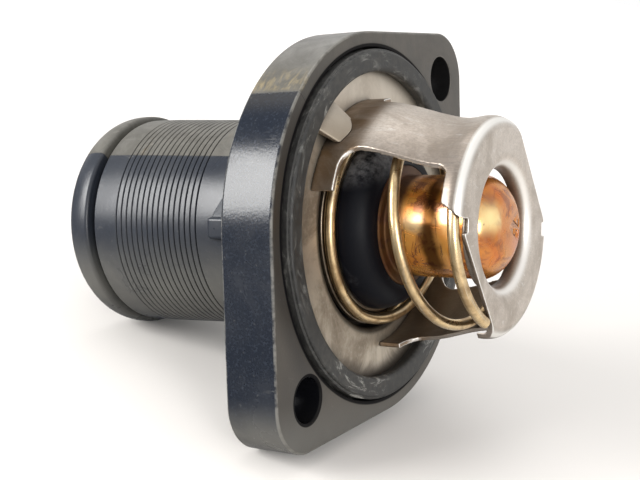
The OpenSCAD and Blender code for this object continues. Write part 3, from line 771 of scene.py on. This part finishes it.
def boltProfile(h, r):
    edge, back, outside = h.holeEdge, -h.thick, r + 40
    line = [(r, 0, edge), (r, back, edge), (outside, back, 0), (outside, 0, 0)]
    return [p for p in softenedLine(line, 3) if p.x < outside - 20]


# A prism from an outline drawn at the neck (across, up), between two radii, with rounded edges
def neckBlock(outline, inner, outer, angle, soft, curved=False):
    bm = bmesh.new()
    turn = Matrix.Rotation(math.radians(angle), 3, "Z")
    low, high = ([bm.verts.new(turn @ Vector(spot(math.sqrt(r * r - x * x) if curved else r, x, z)))
                  for x, z in outline] for r in (inner, outer))
    bm.faces.new(low[::-1])
    bm.faces.new(high)
    for i in range(len(outline)):
        n = (i + 1) % len(outline)
        bm.faces.new((low[i], low[n], high[n], high[i]))
    return bevelledBlock(bm, "block", soft, 0.4)


# A Geometry Nodes tree with named inputs, which grows a plain mesh on an empty object; an input's kind,
# Int, Float or Material, comes from its value
class Grower(Nodes):
    def __init__(self, name, values):
        super().__init__(bpy.data.node_groups.new(name, "GeometryNodeTree"))
        face = self.tree.interface
        face.new_socket(name="Geometry", in_out="OUTPUT", socket_type="NodeSocketGeometry")
        self.name, self.values = name, {}
        for label, value in values.items():
            kind = "NodeSocket" + type(value).__name__.title()
            self.values[face.new_socket(name=label, in_out="INPUT", socket_type=kind).identifier] = value
        self.given = self.tree.nodes.new("NodeGroupInput").outputs

    def onCircle(self, angle, radius, height):
        return self.vector(self.times(self.math("COSINE", angle), radius),
                           self.times(self.math("SINE", angle), radius), height)

    def grown(self, geometry):
        real = self.add("GeometryNodeRealizeInstances", {0: geometry})
        done = self.add("GeometryNodeSetMaterial", {"Geometry": real.outputs[0], "Material": self.given["Finish"]})
        self.add("NodeGroupOutput", {0: done.outputs[0]})
        piece = newObject(self.name, bpy.data.meshes.new(self.name))
        grow = piece.modifiers.new("grow", "NODES")
        grow.node_group = self.tree
        for label, value in self.values.items():
            grow[label] = value
        applyModifiers(piece)
        return piece


# Ribs of the piston seat, one block on each point of a ring
def seatRibs(h):
    t = Grower("piston_seat_ribs", {
        "Count": h.ribs, "Reach": (h.boreR - 0.6) * mm, "Thick": h.ribThick * mm, "Length": h.hubLen * mm,
        "Height": (neckLen + h.hubZ - h.hubLen / 2) * mm, "Finish": blackNylon})
    given = t.given
    ring = t.add("GeometryNodeMeshCircle", {"Vertices": given["Count"], "Radius": 1 * mm}).outputs[0]
    block = t.add("GeometryNodeMeshCube", {"Size": t.vector(given["Reach"], given["Thick"], given["Length"]),
                                           "Vertices X": 2, "Vertices Y": 2, "Vertices Z": 2}).outputs[0]
    share = t.math("DIVIDE", t.add("GeometryNodeInputIndex").outputs[0], given["Count"])
    angle = t.math("MULTIPLY_ADD", share, 2 * math.pi, math.pi / 4)
    place = t.onCircle(angle, t.times(given["Reach"], 0.55), given["Height"])
    moved = t.add("GeometryNodeSetPosition", {"Geometry": ring, "Position": place}).outputs[0]
    copies = t.add("GeometryNodeInstanceOnPoints", {"Points": moved, "Instance": block,
                                                    "Rotation": t.vector(0.0, 0.0, angle)}).outputs[0]
    return t.grown(copies)


# The small lug at the neck root, and the thin web that runs from it to the flange
def lugMeshes(h):
    half, root, steps = h.lugWidth / 2, h.rootR, 12
    high, low, tip = h.sunk - h.thick, -h.thick - h.webDrop, h.lugZ + 0.4
    lug = [(-half, h.lugZ), (half, h.lugZ), (half, high), (-half, high)]
    web = [(0.2 - half, tip), (0.2 - half, high)]
    web += [(-half - (h.webTop - half) * k / steps, high) for k in range(1, steps + 1)]
    web += [(-h.webFoot + (h.webFoot - half) * k / steps, low + (tip - low) * k / steps) for k in range(steps)]
    return (neckBlock(lug, root - 1.6, root + h.lugOut, h.lugAt, 0.65),
            neckBlock(web, root - 1, root + h.webOut, h.lugAt, 0.2, True))


def makeHousing(h):
    verts, faces = [], []
    edge, thick, steps = h.edge, h.thick, 5
    swings = [math.pi / 2 * i / steps for i in range(steps + 1)]
    loops = [flangeLoop(h, edge * (1 - math.sin(a)), -thick + edge * (1 - math.cos(a)), verts) for a in swings]
    loops += [flangeLoop(h, edge * (1 - math.cos(a)), edge * (math.sin(a) - 1), verts) for a in swings]
    addSkin(faces, loops)
    addSkin(faces, addRings(verts, neckProfile(h), h.turnSteps))
    for middle, r in ((h.boltOffset, h.holeLarge), (-h.boltOffset, h.holeSmall)):
        addSkin(faces, addRings(verts, boltProfile(h, r), h.holeSteps, middle))
    piece = newObject("outlet_housing", meshFrom("outlet_housing", verts, faces))

    # The two flat faces, between the outline and the holes
    bm = openMesh(piece.data, 1e-7)
    for z in (neckLen * mm, (neckLen - thick) * mm):
        rim = [e for e in bm.edges if e.is_boundary and all(abs(v.co.z - z) < 1e-6 for v in e.verts)]
        bmesh.ops.triangle_fill(bm, use_beauty=True, use_dissolve=False, edges=rim)
    closeMesh(bm, piece.data)

    top, foot = h.hubZ, h.hubZ - h.hubLen
    hub = turnedPiece("hub", [(h.socketR, top), (h.hubR, top), (h.hubR, foot), (0, foot),
                              (0, h.socketZ), (h.socketR, h.socketZ)], blackNylon, 56, 0.4)
    ribs = seatRibs(h)
    addMeshes(piece, *lugMeshes(h), ribs.data, hub.data)
    bpy.data.objects.remove(ribs)
    bpy.data.objects.remove(hub)
    return finishPiece(piece, blackNylon, 48, 1e-7)


housingPiece = makeHousing(housing)
print("Made the housing:", len(housingPiece.data.polygons), "faces")


# The folded rubber seal and the drawn plate with its two tabs

seal = Values(
    outer=30.6, lip=26.7, proud=1.4, round=0.9, stepIn=0.35, stepDown=0.5,
    plateR=28.4, pocketR=30.85, foot=-3.98, fold=(-1.15, -2.45),                # the fold holds the plate's rim
)
plate = Values(
    rim=28.35, top=-1.2, under=-2.4, opening=18.25, bend=0.7, seatZ=-4.6, seatR=15.0,
    tabAt=84, tabHalf=7.9, tabTop=3.1, tabSide=1.6, tabFoot=22.05, tabRun=4.4, tabThick=1.2,
)


def makeSeal(s):
    step, inside, half = s.proud - s.stepDown, s.lip - 0.4, s.round / 2
    upper, lower = s.fold
    low = [(s.outer - s.stepIn, step), (s.outer, step - 0.12), (s.outer, -2.4), (s.pocketR, -2.7),
           (s.pocketR, s.foot), (inside, s.foot), (inside, lower), (s.plateR, lower),
           (s.plateR, upper), (s.lip, upper)]
    outline = arcPoints(s.lip + s.round, s.proud - s.round, s.round, 180, 90, 6)
    outline += arcPoints(s.outer - s.stepIn - half, s.proud - half, half, 90, 0, 5)
    outline += softened(low, [0.06] + [0.12] * 9, 2)
    piece = turnedPiece("flange_seal_ring", outline, sealRubber, 192)
    for v in piece.data.vertices:       # the lip stands a little uneven, as a used seal does
        if v.co.z > (neckLen + 0.2) * mm:
            v.co.z += (noise.noise(v.co * 180) * 0.05 + noise.noise(v.co * 60) * 0.05 - 0.08) * mm
    return piece


# One tab: a ramp turned through a sector, whose tongue is highest at its middle
def tabMesh(p, side):
    foot, run, top, under = p.tabFoot, p.tabRun, p.tabTop, p.top - 0.6
    ramp = [(foot, top - p.tabThick), (foot, top), (foot + run, p.top), (foot + run, under),
            (foot + run - p.tabThick, under)]
    bm = bmesh.new()
    rings, steps = [], 14
    for k in range(steps + 1):
        a = math.radians(p.tabAt - p.tabHalf + side + 2 * p.tabHalf * k / steps)
        rings.append([bm.verts.new(spot(r * math.cos(a), r * math.sin(a), z)) for r, z in ramp])
    for one, two in zip(rings, rings[1:]):
        for i in range(len(ramp)):
            n = (i + 1) % len(ramp)
            bm.faces.new((one[i], one[n], two[n], two[i]))
    bm.faces.new(rings[0])
    bm.faces.new(rings[-1][::-1])
    tab = bevelledBlock(bm, "tab", 0.22, 0.5)
    base = (neckLen + p.top) * mm
    drop = 1 - (p.tabSide - p.top) / (top - p.top)
    for v in tab.vertices:
        off = abs(math.degrees(math.atan2(v.co.y, v.co.x)) % 180 - p.tabAt - 1) / p.tabHalf
        if v.co.z > base:
            v.co.z = base + (v.co.z - base) * (1 - drop * min(1, off) ** 1.6)
    return tab


def makePlate(p):
    wall, foot = p.opening + 1.2, p.seatZ - 1.2
    line = [(p.rim, p.under, 0.2), (p.rim, p.top, 0.2)]
    line += [(*q, 0) for q in arcPoints(p.opening + p.bend, p.top - p.bend, p.bend, 90, 180, 6)]
    line += [(p.opening, p.seatZ, 0.5), (p.seatR, p.seatZ, 0.25), (p.seatR, foot, 0.25),
             (wall, foot, 1.0), (wall, p.under, 0.5)]
    piece = turnedPiece("seat_plate_drawn", softenedLine(line), plateSteel, 192)
    addMeshes(piece, tabMesh(p, 0), tabMesh(p, 180))
    return finishPiece(piece, plateSteel)


sealPiece = makeSeal(seal)
platePiece = makePlate(plate)
print("Made the seal and the seat plate")


# The bridge frame, from the CAD sheet with its cut edges rounded over

bridge = Values(voxel=0.21, quickVoxel=0.34, passes=3)
voxel = bridge.voxel
framePiece = roundedSheet("bridge_frame", "bridge_frame_sheet", frameSteel, voxel, bridge.passes)
print("Made the bridge frame:", len(framePiece.data.polygons), "faces")


# The main spring: a wire that is closed at both ends, climbs between them and springs up at its free end

spring = Values(
    wire=1.9, coil=16.6, low=-0.35, high=21.25, pitch=15.1,
    start=199.0, bottomTurn=350.0, topTurn=202.0,                 # degrees
    rise=0.4, tailRise=1.4, tailTurn=84.0,
    rings=460, sides=20,
)


def makeSpring(s):
    t = Grower("main_spring_coils", {
        "Wire radius": s.wire / 2 * mm, "Coil radius": s.coil * mm,
        "Low": (neckLen + s.low) * mm, "High": (neckLen + s.high) * mm, "Pitch": s.pitch * mm,
        "Start": s.start, "Bottom turn": s.bottomTurn, "Top turn": s.topTurn,
        "Rise": s.rise * mm, "Tail rise": s.tailRise * mm, "Tail turn": s.tailTurn,
        "Rings": s.rings, "Sides": s.sides, "Finish": springSteel})
    given = t.given
    bottom, top, tailTurn = given["Bottom turn"], given["Top turn"], given["Tail turn"]
    span = t.minus(given["High"], given["Low"])
    climb = t.times(t.math("DIVIDE", span, given["Pitch"]), 360.0)
    closed = t.plus(bottom, climb)
    total = t.plus(closed, top)
    index = t.add("GeometryNodeInputIndex").outputs[0]
    angle = t.times(t.math("DIVIDE", index, t.minus(given["Rings"], 1.0)), total)

    # Three rises, each running from 0 to 1 over its own part of the way
    climbed = t.math("DIVIDE", t.minus(angle, bottom), climb, clamp=True)
    eased = t.math("DIVIDE", t.minus(angle, closed), t.minus(top, tailTurn), clamp=True)
    tail = t.math("DIVIDE", t.minus(angle, t.minus(total, tailTurn)), tailTurn, clamp=True)
    height = t.math("MULTIPLY_ADD", climbed, span, given["Low"])
    height = t.math("MULTIPLY_ADD", eased, given["Rise"], height)
    height = t.math("MULTIPLY_ADD", tail, given["Tail rise"], height)
    around = t.math("RADIANS", t.plus(angle, t.minus(given["Start"], bottom)))
    line = t.add("GeometryNodeMeshLine", {"Count": given["Rings"]}).outputs[0]
    path = t.add("GeometryNodeMeshToCurve", {0: line}).outputs[0]
    wound = t.add("GeometryNodeSetPosition", {
        "Geometry": path, "Position": t.onCircle(around, given["Coil radius"], height)}).outputs[0]
    section = t.add("GeometryNodeCurvePrimitiveCircle", {
        "Resolution": given["Sides"], "Radius": given["Wire radius"]}).outputs[0]
    coils = t.add("GeometryNodeCurveToMesh", {"Curve": wound, "Profile Curve": section, "Fill Caps": True}).outputs[0]
    return finishPiece(t.grown(coils), springSteel)


springPiece = makeSpring(spring)
print("Wound the main spring")


# The valve: pressed disc, rubber cap with its lower bead

valve = Values(
    discR=17.55, stepR=15.35, discZ=-1.3, sheet=0.9, stepZ=-0.3, hubFace=1.8, hubFlat=9.8,
    bore=4.3, capR=10.9, capH=5.5, crimpR=10.47, crimpLow=2.6, shoulder=5.7,
    beadIn=15.5, seatZ=-4.58, clear=0.01,                   # between the rubber and the disc
)


def makeDisc(v):
    face, step, rim, t = v.hubFace, v.stepZ, v.discZ, v.sheet
    outline = [(v.bore, face - t), (v.bore, face), (v.hubFlat, face), (v.stepR - 1.6, step),
               (v.stepR, step), (v.stepR, rim), (v.discR, rim), (v.discR, rim - t),
               (v.stepR - t, rim - t), (v.stepR - t, step - t), (v.stepR - 2.2, step - t),
               (v.hubFlat - 0.6, face - t)]
    return turnedPiece("valve_disc_pressed", outline, discSteel, soft=0.22)


def makeRubber(v):
    face, step, clear, t = v.hubFace, v.stepZ, v.clear, v.sheet
    wall, top, steps = v.stepR - 0.5, step + v.capH, 14
    swings = [math.radians(90 * i / steps) for i in range(steps)]
    line = [(v.capR + (wall - v.capR) * math.cos(a), step + v.capH * math.sin(a), 0) for a in swings]
    line += [(v.capR, top, 0.12), (v.crimpR, top, 0.12), (v.crimpR, v.crimpLow, 0.05),
             (v.shoulder, v.crimpLow, 0.05), (v.shoulder, face + clear, 0.05),
             (v.hubFlat, face + clear, 0.05), (wall - 1.1, step + clear, 0.05)]
    cap = turnedPiece("valve_rubber_cap", softenedLine(line), valveRubber)
    low = v.discZ - t - clear
    inner, root = v.stepR - t, v.hubFlat + 0.6
    bead = [(inner, low, 0.1), (v.discR - 0.2, low, 0.3), (v.discR - 0.5, v.seatZ, 0.6),
            (v.beadIn, v.seatZ, 0.6), (v.beadIn - 1.4, low - 0.6, 0.3), (root, low + 0.4, 0.3),
            (root, face - t - 0.9, 0.3), (v.stepR - 2.2, step - t - clear, 0.1),
            (inner, step - t - clear, 0.05)]
    lower = turnedPiece("bead", softenedLine(bead), valveRubber)
    addMeshes(cap, lower.data)
    bpy.data.objects.remove(lower)
    return finishPiece(cap, valveRubber)


discPiece = makeDisc(valve)
rubberPiece = makeRubber(valve)
print("Made the valve")


# The wax capsule: drawn copper cup crimped over the brass guide

capsule = Values(
    cupR=8.73, wall=0.8, crimpR=10.45, crimpTop=5.5, crimpLow=2.6, skin=0.7,
    top=24.1, shoulder=20.0, flat=4.6, roundness=0.6,
    figures="75", figureSize=3.3, figureAt=(1.75, -2.15), figureTurn=218, figureDepth=0.16,
    figureThin=0.04,
)
guide = Values(
    bore=1.95, outer=4.3, low=-13.4, hubFace=1.8, shoulder=5.4, ledge=3.3,
    flange=9.75, top=4.0, mouth=5.2, mouthDepth=1.2,
)


# The dome, from its shoulder to its flat top: between a round and a straight line
def domeLine(c, inset, steps=16):
    out = []
    bow, fall = c.roundness, 1 - c.roundness
    for i in range(steps + 1):
        a, share = math.pi / 2 * i / steps, i / steps
        out.append((c.flat + (c.cupR - inset - c.flat) * (bow * math.cos(a) + fall * (1 - share)),
                    c.shoulder + (c.top - inset - c.shoulder) * (bow * math.sin(a) + fall * share)))
    return out


def stampTool(c):
    data = bpy.data.curves.new("stamp", "FONT")
    data.body = c.figures
    data.size = c.figureSize * mm
    data.align_x, data.align_y = "CENTER", "CENTER"
    data.extrude = c.figureDepth * mm
    data.offset = -c.figureThin * mm
    text = newObject("stamp", data)
    mesh = plainMesh(text)
    bpy.data.objects.remove(text)
    place = Matrix.Translation(spot(*c.figureAt, c.top))
    mesh.transform(place @ Matrix.Rotation(math.radians(c.figureTurn), 4, "Z"))
    return newObject("stamp", mesh)


def makeCup(c):
    skin, cup, rim = c.skin, c.cupR, c.crimpR
    line = [(rim - skin, c.crimpTop - skin, 0.1), (rim - skin, c.crimpLow + skin, 0.1),
            (cup, c.crimpLow + skin, 0.1), (cup, c.crimpLow, 0.15), (rim, c.crimpLow, 0.4),
            (rim, c.crimpTop, 0.55), (cup, c.crimpTop, 0.45)]
    line += [(*p, 0) for p in domeLine(c, 0) + [(0, c.top), (0, c.top - c.wall)] + domeLine(c, c.wall)[::-1]]
    line += [(cup - c.wall, c.crimpTop - skin, 0.2)]
    piece = turnedPiece("capsule_cup_drawn", softenedLine(line, 5), copperSkin, 160)
    tool = stampTool(c)
    cut = piece.modifiers.new("stamp", "BOOLEAN")
    cut.operation = "DIFFERENCE"
    cut.solver = "EXACT"
    cut.object = tool
    applyModifiers(piece)
    bpy.data.objects.remove(tool)
    return finishPiece(piece, copperSkin, 40)


def makeGuide(g):
    line = [(g.bore, g.low, 0.2), (g.outer, g.low, 0.5), (g.outer, g.hubFace, 0.1),
            (g.shoulder, g.hubFace, 0.1), (g.shoulder, g.ledge, 0.1), (g.flange, g.ledge, 0.1),
            (g.flange, g.top, 0.1), (g.mouth, g.top, 0.2),
            (g.bore, g.top - g.mouthDepth, 0.1)]
    return turnedPiece("capsule_guide_turned", softenedLine(line), guideBrass, 96)


cupPiece = makeCup(capsule)
guidePiece = makeGuide(guide)
print("Made the capsule")


# Every piece rides on its body and stands for its node

replaced = [
    (housingPiece, "housing", "housing", "housing_plastic"), (sealPiece, "flange_seal", "housing", "seal_rubber"),
    (platePiece, "seat_plate", "housing", "plate_steel"), (framePiece, "bridge_frame", "housing", "frame_steel"),
    (springPiece, "main_spring", "housing", "spring_steel"), (discPiece, "valve_disc", "capsule", "disc_steel"),
    (rubberPiece, "valve_rubber", "capsule", "valve_rubber"), (cupPiece, "capsule_cup", "capsule", "cup_copper"),
    (guidePiece, "capsule_guide", "capsule", "guide_brass"),
]
for piece, node, body, slot in replaced:
    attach(piece, body)
    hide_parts(node)
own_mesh(springPiece)

kept = {"wax_charge": waxFinish, "diaphragm": diaphragmFinish, "transfer_gel": gelFinish, "rubber_plug": plugFinish,
        "anti_extrusion_washer": washerFinish, "piston": pistonSteel}
for node, finish in kept.items():
    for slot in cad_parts[node].material_slots:
        slot.material = finish
print("Dressed the nodes")


# Stage: the part lies on the flange's lower side and the bead, on a pale table

stage = Values(
    point=(-23.2, -24.3, 46.5), normal=(0.662, 0.691, 0.289), radius=3000, sides=96,
    color=(0.745, 0.72, 0.695), rough=0.7,
    lift=0.035, farLift=0.4,                                # what the camera sees the table glow, near and far
    mirrored=(0.10, 0.115, 0.15),                           # how gloss and metal see the table behind the part
    mirrorGlow=0.5, mirrorAlong=(-0.54, 0.03, -0.84),
    world=0.92, dark=(0.30, 0.325, 0.37), darkSide=(-0.52, 0.62, -0.45),
    aim=(0, 0, 52), lampColor=(1.0, 0.99, 0.97),
    lamps={
        "key": Values(way=(-0.235, 0.857, -0.46), distance=800, size=(430, 470), glow=16.5),
        "top": Values(way=(0.72, 0.66, 0.05), distance=600, size=(420, 420), glow=1.1),
        "front": Values(way=(-0.37, 0.48, 0.80), distance=560, size=(170, 170), glow=12.0),
    },
)


def makeTableFinish(s):
    t = Finish("pale_table")
    t.give("Base Color", t.mix(t.noise(6, 3), s.color, tuple(0.985 * v for v in s.color)))
    t.give("Roughness", s.rough)
    t.give("Specular IOR Level", 0.1)
    along = t.compare("DOT_PRODUCT", t.place, s.mirrorAlong)
    dim = t.add("ShaderNodeEmission", {0: (*s.mirrored, 1), 1: s.mirrorGlow}).outputs[0]
    dimming = t.times(t.ray("Glossy"), t.spread(along, -90 * mm, 20 * mm, 0, 0.85))
    table = t.shaders(dimming, t.shader.outputs[0], dim)
    back = t.add("ShaderNodeNewGeometry").outputs["Backfacing"]
    both = t.shaders(back, table, t.add("ShaderNodeBsdfTransparent").outputs[0])
    front = t.times(t.ray("Camera"), t.minus(1.0, back))
    far = t.compare("DISTANCE", t.place, Vector(s.aim) * mm)
    glow = t.times(front, t.spread(far, 130 * mm, 420 * mm, s.lift, s.farLift))
    lift = t.add("ShaderNodeEmission", {0: (1, 1, 1, 1), 1: glow}).outputs[0]
    t.join(t.add("ShaderNodeAddShader", {0: both, 1: lift}).outputs[0],
           t.tree.nodes["Material Output"].inputs["Surface"])
    return t.material


def makeFloor(s):
    out = Vector(s.normal).normalized()
    across = out.cross(Vector((0, 0, 1))).normalized()
    along = out.cross(across)
    middle = Vector(s.point) * mm
    count, size = s.sides, s.radius * mm
    angles = [2 * math.pi * k / count for k in range(count)]
    verts = [middle + (across * math.cos(a) + along * math.sin(a)) * size for a in angles]
    floor = newObject("table_top", meshFrom("table_top", verts, [list(range(count))]))
    if floor.data.polygons[0].normal.dot(out) < 0:
        floor.data.flip_normals()
    dress(floor, makeTableFinish(s))


def makeLamp(name, lamp, s):
    data = bpy.data.lights.new(name, "AREA")
    data.shape = "RECTANGLE"
    data.size, data.size_y = (v * mm for v in lamp.size)
    data.energy = lamp.glow * math.pi * data.size * data.size_y
    data.color = s.lampColor
    out = Vector(lamp.way).normalized()
    place = Vector(s.aim) * mm + out * lamp.distance * mm
    aimed(newObject(name, data), out.cross(Vector((0, 0, 1))).normalized(), out, place)


# White where the camera sees it; darker to one side where gloss and metal do
def makeWorld(s):
    world = bpy.data.worlds.new("studio")
    bpy.context.scene.world = world
    world.use_nodes = True
    world.node_tree.nodes.clear()
    t = Nodes(world.node_tree)
    way = t.add("ShaderNodeTexCoord").outputs["Generated"]
    near = t.compare("DOT_PRODUCT", way, Vector(s.darkSide).normalized())
    amount = t.times(t.spread(near, 0.05, 0.72), t.ray("Glossy"), t.spread(t.axes(way)[2], 0.25, -0.15))
    tone = t.mix(amount, (1.0, 1.0, 1.0), s.dark)
    soft = t.add("ShaderNodeBackground", {0: tone, 1: s.world}).outputs[0]
    white = t.add("ShaderNodeBackground", {0: (1, 1, 1, 1), 1: 1.0}).outputs[0]
    t.add("ShaderNodeOutputWorld", {0: t.shaders(t.ray("Camera"), soft, white)})


makeFloor(stage)
for name, lamp in stage.lamps.items():
    makeLamp(name, lamp, stage)
makeWorld(stage)
bpy.context.scene.view_settings.view_transform = "Standard"
print("Set the stage")
